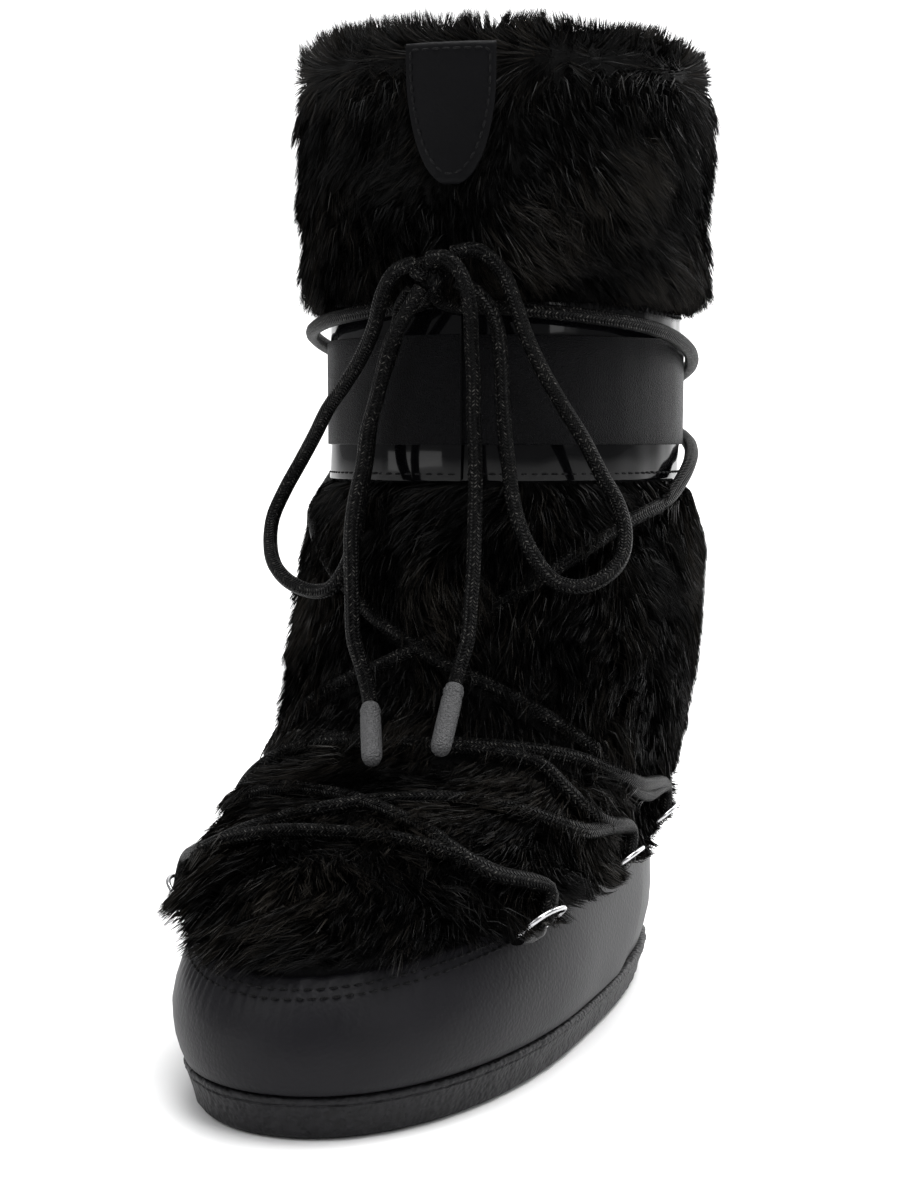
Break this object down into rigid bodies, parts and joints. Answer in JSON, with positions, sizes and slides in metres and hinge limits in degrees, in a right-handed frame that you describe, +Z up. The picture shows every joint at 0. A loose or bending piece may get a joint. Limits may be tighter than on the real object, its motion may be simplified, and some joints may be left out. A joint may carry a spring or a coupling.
{
  "type": "apres ski boot",
  "caption": "Tall fur snow boot on a low flat rubber sole, with a glossy ankle band, laces run through rings along the fur and a bow hanging in front.",
  "frame": {"origin": "on the floor under the axis of the shaft, where the heel tread rests", "axes": "+Z up along the shaft, -Y towards the toe, +X towards the wearer's left"},
  "size_m": [0.1538, 0.2903, 0.3288],
  "materials": {
    "rubber_sole": "matte",
    "felt_insole": "felt",
    "lining": "matte",
    "rand_leather": "matte",
    "patent_band": "glossy",
    "matte_strip": "matte",
    "long_fur": "deep pile",
    "lace_braid": "braided",
    "aglet_plastic": "satin",
    "ring_wire": "polished",
    "tab_leather": "satin",
    "patch_leather": "matte"
  },
  "bodies": {
    "root": {"outsole": "rubber_sole", "insole": "felt_insole", "upper": "lining", "rand": "rand_leather", "heel_counter": "rand_leather", "band": "patent_band", "band_strip": "matte_strip", "band_lap": "patent_band", "lace_crossings": "lace_braid", "lace_knot": "lace_braid", "lace_loop_left": "lace_braid", "lace_loop_right": "lace_braid", "lace_end_left": "lace_braid", "lace_end_right": "lace_braid", "aglet_left": "aglet_plastic", "aglet_right": "aglet_plastic", "ring_left_1": "ring_wire", "ring_tab_left_1": "tab_leather", "ring_left_2": "ring_wire", "ring_tab_left_2": "tab_leather", "ring_left_3": "ring_wire", "ring_tab_left_3": "tab_leather", "ring_right_1": "ring_wire", "ring_tab_right_1": "tab_leather", "ring_right_2": "ring_wire", "ring_tab_right_2": "tab_leather", "ring_right_3": "ring_wire", "ring_tab_right_3": "tab_leather", "collar_patch": "patch_leather", "fur_lower": "long_fur", "fur_cuff": "long_fur"}
  },
  "joints": []
}
